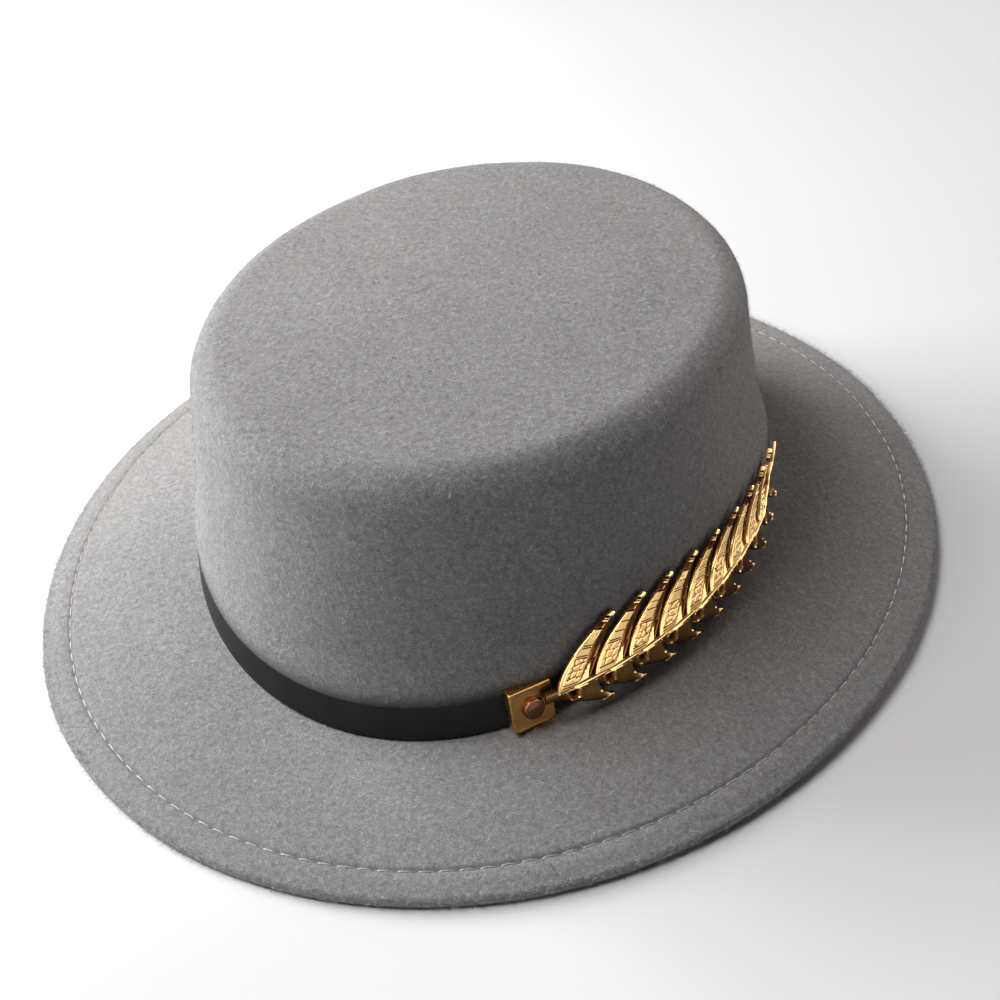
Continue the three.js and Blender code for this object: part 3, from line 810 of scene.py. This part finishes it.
# Strap
def strap_section():
    """Points round the strap's section as (out, up), with rounded edges and a slightly swollen face."""
    back = STRAP_INNER + STRAP_BACK_ROUND
    face = STRAP_OUTER - STRAP_FACE_ROUND
    section = []
    for out, up, start, radius in (
        (back, STRAP_BACK_ROUND, 180, STRAP_BACK_ROUND),
        (face, STRAP_FACE_ROUND, 270, STRAP_FACE_ROUND),
        (face, STRAP_HEIGHT - STRAP_FACE_ROUND, 0, STRAP_FACE_ROUND),
        (back, STRAP_HEIGHT - STRAP_BACK_ROUND, 90, STRAP_BACK_ROUND),
    ):
        section += quarter_round(out, up, radius, start, 5)
        if start == 270:
            for share in np.linspace(0, 1, 8)[1:-1]:
                belly = STRAP_BELLY * math.sin(math.pi * share) - STRAP_BELLY / 2
                height = STRAP_FACE_ROUND + (STRAP_HEIGHT - 2 * STRAP_FACE_ROUND) * share
                section.append((STRAP_OUTER + belly, height))
    return section


def make_strap():
    angle = circle(STRAP_COLUMNS)
    rows = np.array([beside_wall(angle, foot_height(angle) + up, out) for out, up in strap_section()])
    rows = felt_unevenness(rows.transpose(1, 0, 2))
    make_piece("strap", [join_rings(rows, loop=True)], coated_leather(), 60, "hat_band", "strap")


# Plate and rivet
def leaf_line(angle):
    return beside_wall(angle, BASE_HEIGHT + 0 * angle, LEAF_LINE)


LEAF_ANGLES, LEAF_LENGTH = even_spacing(leaf_line, math.pi, LEAF_LINE_STEPS)


def on_strap(along, up, out):
    angle = np.interp(along, np.linspace(0, LEAF_LENGTH, LEAF_LINE_STEPS + 1), LEAF_ANGLES)
    return beside_wall(angle, foot_height(angle) + up, out)


def plate_frame():
    origin = on_strap(PLATE_ALONG, 0, 0)
    ahead = Vector(on_strap(PLATE_ALONG + 1, 0, 0) - on_strap(PLATE_ALONG - 1, 0, 0)).normalized()
    out = ahead.cross(Vector(on_strap(PLATE_ALONG, STRAP_HEIGHT, 0) - origin)).normalized()
    basis = Matrix((ahead, out.cross(ahead), out)).transposed().to_4x4()
    yaw = Matrix.Rotation(math.radians(PLATE_YAW), 4, "Y")
    turn = Matrix.Rotation(math.radians(PLATE_TURN), 4, "Z")
    return np.array(Matrix.Translation(Vector(origin)) @ basis @ yaw @ turn)


def in_plate_frame(points):
    axes = plate_frame()
    return np.asarray(points) @ axes[:3, :3].T + axes[:3, 3]


def rounded_outline(inset, low, low_radius, high_radius, count):
    """A rectangle with round corners from low up to the plate's top, drawn in by inset."""
    points = []
    for turn, (side, rise) in enumerate(((1, 1), (-1, 1), (-1, -1), (1, -1))):
        level, radius = (PLATE_TOP, high_radius) if rise > 0 else (low, low_radius)
        middle = inset + radius
        x = side * (PLATE_HALF - middle)
        points += quarter_round(x, level - rise * middle, radius, 90 * turn, count)
    return points


def plate_outline(inset):
    low_radius = max(0.02, PLATE_LOW_CORNER - inset)
    high_radius = max(0.02, PLATE_HIGH_CORNER - inset)
    return rounded_outline(inset, PLATE_FOOT, low_radius, high_radius, 9)


def plate_body():
    """The square plate itself, ringed from its back over its rounded edge to its slightly hollow face."""
    edge = PLATE_FACE - PLATE_EDGE_ROUND
    rings = [(0.25, PLATE_BACK), (0, PLATE_BACK + 0.25), (0, edge)]
    for turn in np.radians([25, 50, 75]):
        rings.append((PLATE_EDGE_ROUND * (1 - math.cos(turn)), edge + PLATE_EDGE_ROUND * math.sin(turn)))
    rings += [(inset, PLATE_FACE - drop) for inset, drop in PLATE_HOLLOW]
    rows = []
    patina_and_shade = []
    for inset, depth in rings:
        outline = plate_outline(inset)
        if inset > PLATE_LOW_CORNER:
            scale = 1 - inset / PLATE_HALF
            outline = [(x * scale, PLATE_MIDDLE + (y - PLATE_MIDDLE) * scale) for x, y in plate_outline(0)]
        rows.append([(x, y, depth) for x, y in outline])
        patina_and_shade += [PLATE_WORN if inset > 0.7 else 0.0] * len(outline)
    points, faces = join_rings(rows)
    return in_plate_frame(points), faces, patina_and_shade + [0, PLATE_WORN]


def plate_flange():
    """The plate's top edge, folded back over the strap, ringed from its outer end to its back end."""
    under = PLATE_TOP - FLANGE_THICKNESS
    rows = []
    for inset, back in FLANGE_RINGS:
        outline = rounded_outline(inset, under, FLANGE_CORNER, FLANGE_CORNER, 3)
        rows.append([(x, y, 2 * CLEARANCE + back) for x, y in outline])
    points, faces = join_rings(rows)
    return in_plate_frame(points), faces


def make_plate():
    plating = cast_plating("brushed_gold_plating", "#c79a5c", "#8a5a30", "#3b2412", 0.2, 0.34)
    make_piece("clasp_plate", [plate_body(), plate_flange()], plating, 38, "end_plate", "gold")


def make_rivet():
    profile = [(RIVET_SHANK, CLEARANCE + 0.2), (RIVET_SHANK, PLATE_FACE - 0.2)]
    profile += [(RIVET_RADIUS - 0.1, PLATE_FACE - 0.12), (RIVET_RADIUS, PLATE_FACE + 0.1)]
    rim = PLATE_FACE + RIVET_RIM
    profile.append((RIVET_RADIUS, rim))
    for turn in np.radians([20, 40, 60, 80]):
        radius = RIVET_RADIUS - RIVET_ROUND * (1 - math.cos(turn))
        profile.append((radius, rim + RIVET_ROUND * math.sin(turn)))
    top = PLATE_FACE + CLEARANCE + RIVET_DOME
    profile += [(radius, top - drop) for radius, drop in RIVET_CROWN]
    angle = circle(RIVET_COLUMNS)
    rows = []
    for radius, height in profile:
        ring = [radius * np.cos(angle), PLATE_MIDDLE + radius * np.sin(angle), height + 0 * angle]
        rows.append(np.stack(ring, axis=-1))
    points, faces = join_rings(rows)
    plating = cast_plating("copper_brown_plating", "#7d5842", "#553424", "#21110c", 0.14, 0.26)
    make_piece("rivet_head", [(in_plate_frame(points), faces)], plating, 50, "rivet", "copper")


# Leaf
def leaf_at(along, column, table=LEAF_STATIONS):
    return np.interp(along, table["along"], table[column])


def between(start, pull, end, share):
    left = 1 - share
    return left * left * start + 2 * left * share * pull + share * share * end


def soft_step(low, high, value):
    share = np.clip((value - low) / (high - low), 0, 1)
    return share * share * (3 - 2 * share)


def bar(centre, half, value):
    """One inside a bar of this half width, falling to nothing over as much again."""
    return 1 - soft_step(half, 2 * half, np.abs(value - centre))


def toward(level, target, share):
    return level + (target - level) * share


def edge_drop(share):
    """A quarter circle's drop towards an edge, from 0 a whole radius in to 1 at the edge."""
    return 1 - np.sqrt(1 - (1 - np.clip(share, 0, 1)) ** 2)


def cell_borders(across, share, size, seed):
    """How far each point of a leaflet, taken as 8 by 22 mm, is from the border between its two nearest of
    many scattered spots."""
    x = across * 8.0 + 0 * share
    y = share * 22 + 0 * across
    spots = []
    for i in range(-1, int(x.max() / size) + 3):
        for j in range(-1, int(y.max() / size) + 3):
            push = noise.cell_vector(Vector((i + 0.5, j + 0.5, seed + 0.5)))
            spots.append(((i + 0.15 + 0.7 * push.x) * size, (j + 0.15 + 0.7 * push.y) * size))
    away = np.stack([np.hypot(x - a, y - b) for a, b in spots])
    away.sort(axis=0)
    return away[1] - away[0]


def within(low, low_end, high, high_end, value):
    """One from low_end to high, falling to nothing at low and at high_end."""
    return soft_step(low, low_end, value) * (1 - soft_step(high, high_end, value))


def panel_lines(across, share, number):
    """Engraved lines of an upper leaflet's panel: straight ones across it, and nets of veins between them."""
    lines = 0 * across + 0 * share
    for k, place in enumerate(CROSS_LINES):
        if (number + k) % 5 != 3:
            lines = np.maximum(lines, bar(place, LINE_HALF, share))
    veins = 1 - soft_step(0.08, 0.34, cell_borders(across, share, 1.95, number * 7))
    lines = np.maximum(lines, veins * within(0.15, 0.17, 0.45, 0.46, share))
    if number % 3 == 0:
        fine = 1 - soft_step(0.06, 0.2, cell_borders(across, share, 1.1, number * 7 + 3))
        lines = np.maximum(lines, 0.6 * fine * within(0.7, 0.72, 0.78, 0.79, share))
    return lines


def upper_relief(across, share, number):
    """Height, and how much patina and painted shade darken it: rim, pale panel, sloping side and dark channel
    both darkened with painted shade, engraved lines with patina, and a narrow neck with ticks.
    """
    rim = 0.07 if number == 0 else 0.04
    edge = 0.6 - 0.12 * soft_step(0.35, 0.7, share) + 0.25 * soft_step(0.95, 0.96, share)
    inside = 1 - soft_step(edge, edge + 0.03, across)
    # Raised rim, and the panel beside it
    level = 0 * across + 0 * share
    level = level - 0.34 * soft_step(rim, rim + 0.025, across)
    level = level + 0.2 * soft_step(rim + 0.035, rim + 0.06, across)
    # Sloping side down to the channel, and the low verge at the leaflet's foot, all darkened with painted
    # shade
    steep = soft_step(edge + 0.13, edge + 0.21, across)
    side = -0.36 - 0.22 * soft_step(edge + 0.03, edge + 0.13, across) - 0.5 * steep
    level = toward(level, side, 1 - inside)
    verge = soft_step(0.95, 0.965, across) * (1 - soft_step(0.4, 0.5, share))
    level = toward(level, -0.7, verge)
    patina_and_shade = toward(0.32 * (1 - inside) + 0.6 * steep, 0.55, verge)
    # Engraved panel
    lines = panel_lines(across, share, number) * within(rim + 0.05, rim + 0.07, edge - 0.02, edge, across)
    level = level - 0.25 * lines
    patina_and_shade = patina_and_shade + 0.7 * lines
    # Bright facet beside the midrib, and the thin stem above it
    facet = soft_step(0.55, 0.59, across - 0.75 * share) * (1 - soft_step(0.34, 0.37, share))
    facet = facet * (1 - soft_step(0.93, 0.95, across + 0.25 * share))
    level = toward(level, 0.05 - 4.6 * share, facet)
    patina_and_shade = patina_and_shade * (1 - facet)
    stem = bar(0.9, 0.014, across) * within(0.38, 0.42, 0.56, 0.6, share)
    level = toward(level, -0.7, stem)
    patina_and_shade = toward(patina_and_shade, 0.35, stem)
    # Sunk neck with its bright ticks, and the bead at the tip
    neck = within(0.805, 0.812, 0.945, 0.955, share) * inside
    level = toward(level, -0.75, neck)
    patina_and_shade = toward(patina_and_shade, 0.95, neck)
    ticks = bar(edge - 0.03, 0.01, across) * neck * (share > 0.88)
    for place in NECK_TICKS:
        ticks = np.maximum(ticks, bar(place, LINE_HALF, share) * inside)
    level = toward(level, 0.04, ticks)
    bead = soft_step(0.95, 0.96, share) * inside
    level = toward(level, 0.15 - 1.2 * (across - 0.4) ** 2, bead)
    return level, np.clip(toward(patina_and_shade, 0, np.maximum(ticks, bead)), 0, 1)


def lower_relief(across, share, number):
    """Height, and how much painted shade darkens it: a rounded claw darkened with painted shade, with its tip
    and a nub left pale, and a pale-edged slot painted black as shade beside the midrib. The lower leaflets
    are alike, so their number has no use here."""
    level = -0.6 * (1 - across) ** 2 - 0.5 * np.abs(2 * across - 1) ** 3 + 0 * share
    # Painted shade on the claw's body, a little less towards its front
    patina_and_shade = 0.5 - 0.15 * across + 0 * level
    tip = soft_step(0.83, 0.87, share)
    level = toward(level, 0.05 - 0.6 * (across - 0.6) ** 2, tip)
    patina_and_shade = toward(patina_and_shade, 0.35 * bar(0.45, 0.12, across), tip)
    nub = np.exp(-((share - 0.5) / 0.03) ** 2 - ((across - 0.93) / 0.04) ** 2)
    level = level + 0.5 * nub
    patina_and_shade = patina_and_shade * (1 - nub)
    centre = 0.43 - 0.65 * share
    edging = bar(centre, 0.1, across) * (1 - soft_step(0.3, 0.32, share))
    level = toward(level, 0.0, edging)
    patina_and_shade = toward(patina_and_shade, 0, edging)
    # The pit is painted black as shade
    pit = bar(centre, 0.065, across) * (1 - soft_step(0.25, 0.27, share))
    level = toward(level, -1.1, pit)
    return level, np.clip(toward(patina_and_shade, 1, pit), 0, 1)


def leaflet(number, plan, side, relief, columns, rows):
    """One leaflet in the leaf's own places. Reach is a share of the way from the ridge to the tips."""
    node = FIRST_NODE + number * NODE_PITCH
    tip = leaf_at(node, side, TIP_REACH)
    across = np.concatenate([columns, [1, 0]])[None, :]
    share = BLUNT * rows[:, None]
    half, lift = plan["tip half"]
    half = half * (1 - TIP_SHRINK * number)
    spread = min(1, tip / 10)
    back = between(plan["rear"] * spread, plan["rear pull"][0] * spread, tip - half, share)
    fore = between(plan["front"] * spread, plan["front pull"][0] * spread, tip + half, share)
    place = node + toward(back, fore, across)
    back = between(0, plan["rear pull"][1], 1 + lift, share)
    fore = between(0, plan["front pull"][1], 1 - lift, share)
    reach = toward(back, fore, across)
    level, patina_and_shade = relief(across, rows[:, None], number)
    for inwards in (across / 0.04, (1 - across) / 0.04, (1 - rows[:, None]) / 0.02):
        level = level - EDGE_ROUND * edge_drop(inwards)
    level[:, -2:] = -BLADE
    # Painted shade on the leaflet's back and on the sides down to it
    patina_and_shade[:, -2:] = 0.6
    level[0, :-2] = -0.5
    up = toward(leaf_at(place, "ridge up"), leaf_at(place, side + " up"), reach)
    out = toward(leaf_at(place, "ridge out"), leaf_at(place, side + " out"), reach) + level
    points, faces = join_rings(on_strap(place, up, out))
    return points, faces, np.concatenate([patina_and_shade.ravel(), [0.5, 0.5]])


def midrib():
    """A bar whose thin upper edge shines, whose face tilts down and darkens towards its foot with painted
    shade, with a notch before each node painted black as shade.
    """
    steps = np.linspace(LEAF_STATIONS["along"][0], LEAF_STATIONS["along"][-1], MIDRIB_STEPS)
    half = np.interp(steps, [steps[0], steps[-1]], MIDRIB_ENDS)
    place = (steps - FIRST_NODE) / NODE_PITCH
    arch = np.where(place > 0, np.abs(np.sin(math.pi * place)) ** 0.7, 0)
    notch = bar(0.5, 0.07, (place - NOTCH_PLACE + 0.5) % 1) * (place > -0.5) * (place < LOWER_COUNT - 0.5)
    taper = np.where(place > NOTCH_PLACE, (place - NOTCH_PLACE) % 1, 1)
    thin = np.interp(steps, [MIDRIB_THIN_FROM, steps[-1]], [1, MIDRIB_THIN_END])
    rows = []
    patina_and_shade = []
    for side, depth, shade in MIDRIB_SECTION:
        cut = notch * (side < 0.5)
        crest = MIDRIB_CREST * taper * (0.3 < side < 0.6)
        up = leaf_at(steps, "ridge up") + half * (side + crest) + MIDRIB_ARCH * arch * (side > 0)
        depth = toward(depth - 0.45 * crest + 0.12 * arch * (depth > -1), -NOTCH_DEPTH, cut)
        out = leaf_at(steps, "ridge out") + thin * depth
        rows.append(on_strap(steps, up, out))
        # The face darkens with painted shade towards its foot, and each notch is painted black as shade
        patina_and_shade.append(toward(shade, 1, cut))
    points, faces = join_rings(np.array(rows).transpose(1, 0, 2))
    return points, faces, np.concatenate([np.array(patina_and_shade).T.ravel(), [0.3, 0.3]])


def hidden_post():
    """The short prong behind the leaf that holds it to the strap."""
    turn = circle(POST_COLUMNS)
    along = POST_ALONG + POST_RADIUS * np.cos(turn)
    up = leaf_at(POST_ALONG, "ridge up") + POST_RADIUS * np.sin(turn)
    head = leaf_at(POST_ALONG, "ridge out") - BLADE
    return join_rings([on_strap(along, up, out + 0 * turn) for out in np.linspace(STRAP_OUTER, head, 4)])


def joined(*runs):
    """One rising list of places from several evenly spaced runs, each given as start, end and count."""
    return np.unique(np.concatenate([np.linspace(*run) for run in runs]))


def make_leaf():
    upper_columns = joined((0, 0.04, 5), (0.04, 0.2, 10), (0.2, 0.56, 14), (0.56, 0.62, 4), (0.62, 0.84, 6),
                           (0.84, 1, 13))
    lower_columns = joined((0, 0.04, 4), (0.04, 0.96, 28), (0.96, 1, 4))
    steps = (-2 * LINE_HALF, -LINE_HALF, LINE_HALF, 2 * LINE_HALF)
    beside_lines = [place + step for place in CROSS_LINES + NECK_TICKS for step in steps]
    upper_rows = np.unique(np.concatenate([np.linspace(0, 1, 96), beside_lines]))
    parts = [midrib(), hidden_post()]
    for count, *kind in (
        (UPPER_COUNT, UPPER_LEAFLET, "upper", upper_relief, upper_columns, upper_rows),
        (LOWER_COUNT, LOWER_LEAFLET, "lower", lower_relief, lower_columns, np.linspace(0, 1, 56)),
    ):
        parts += [leaflet(number, *kind) for number in range(count)]
    # The brown and the near-black stand for patina in the engraved lines and for painted shade on the leaf
    plating = cast_plating("polished_gold_plating", "#e4bf82", "#87592c", "#1f1209", 0.1, 0.2)
    make_piece("leaf", parts, plating, 42, "leaf_ornament", "gold")


# Studio
def make_floor():
    corners = [(1, 1), (-1, 1), (-1, -1), (1, -1)]
    rows = [[(x * reach, y * reach, 0) for x, y in corners] for reach in (FLOOR_SIZE / 8, FLOOR_SIZE)]
    points, faces = open_sheet(rows)
    faces.append([0, 1, 2, 3])
    make_piece("paper_sweep", [(points, faces)], paper_sweep())


def light_direction(right, away, up):
    """Where a light stands, told from the camera: to its right, away from it, and up."""
    side, _, back = camera_axes()
    level = Vector((back.x, back.y, 0)).normalized()
    return (side * right - level * away + Vector((0, 0, up))).normalized()


def add_lamp(name, kind, place, power, settings):
    data = bpy.data.lights.new(name, kind)
    data.energy = power
    for key, value in settings.items():
        setattr(data, key, value)
    lamp = add_object(name, data)
    direction = light_direction(*place)
    lamp.location = direction * LAMP_DISTANCE
    lamp.rotation_euler = direction.to_track_quat("Z", "Y").to_euler()


def room(tree):
    """How bright the room is that polished metal mirrors, by height."""
    direction = add_node(tree, "ShaderNodeTexCoord").outputs["Generated"]
    height = add_node(tree, "ShaderNodeSeparateXYZ", {0: direction}).outputs["Z"]
    greys = [(position, (grey, grey, grey, 1)) for position, grey in ROOM_GREYS]
    shade = add_node(tree, "ShaderNodeValToRGB", {"Fac": height}, greys).outputs["Color"]
    return add_node(tree, "ShaderNodeMath", {0: shade, 1: ROOM_STRENGTH}, operation="MULTIPLY").outputs[0]


def light_studio():
    for name, (kind, place, power, settings) in LAMPS.items():
        add_lamp(name, kind, place, power, settings)
    world = bpy.data.worlds.new("studio")
    world.use_nodes = True
    tree = world.node_tree
    ray = add_node(tree, "ShaderNodeLightPath").outputs
    mirrored = add_node(tree, "ShaderNodeMix", {
        0: ray["Is Glossy Ray"], 2: AMBIENT_STRENGTH, 3: room(tree),
    }).outputs[0]
    strength = add_node(tree, "ShaderNodeMix", {
        0: ray["Is Camera Ray"], 2: mirrored, 3: BACKDROP_STRENGTH,
    }).outputs[0]
    fill(tree, tree.nodes["Background"], {"Color": WORLD_TINT, "Strength": strength})
    bpy.context.scene.world = world
    bpy.context.scene.view_settings.view_transform = "Standard"


place_camera()
make_nap(*make_felt())
make_stitches()
make_strap()
make_plate()
make_rivet()
make_leaf()
make_floor()
light_studio()
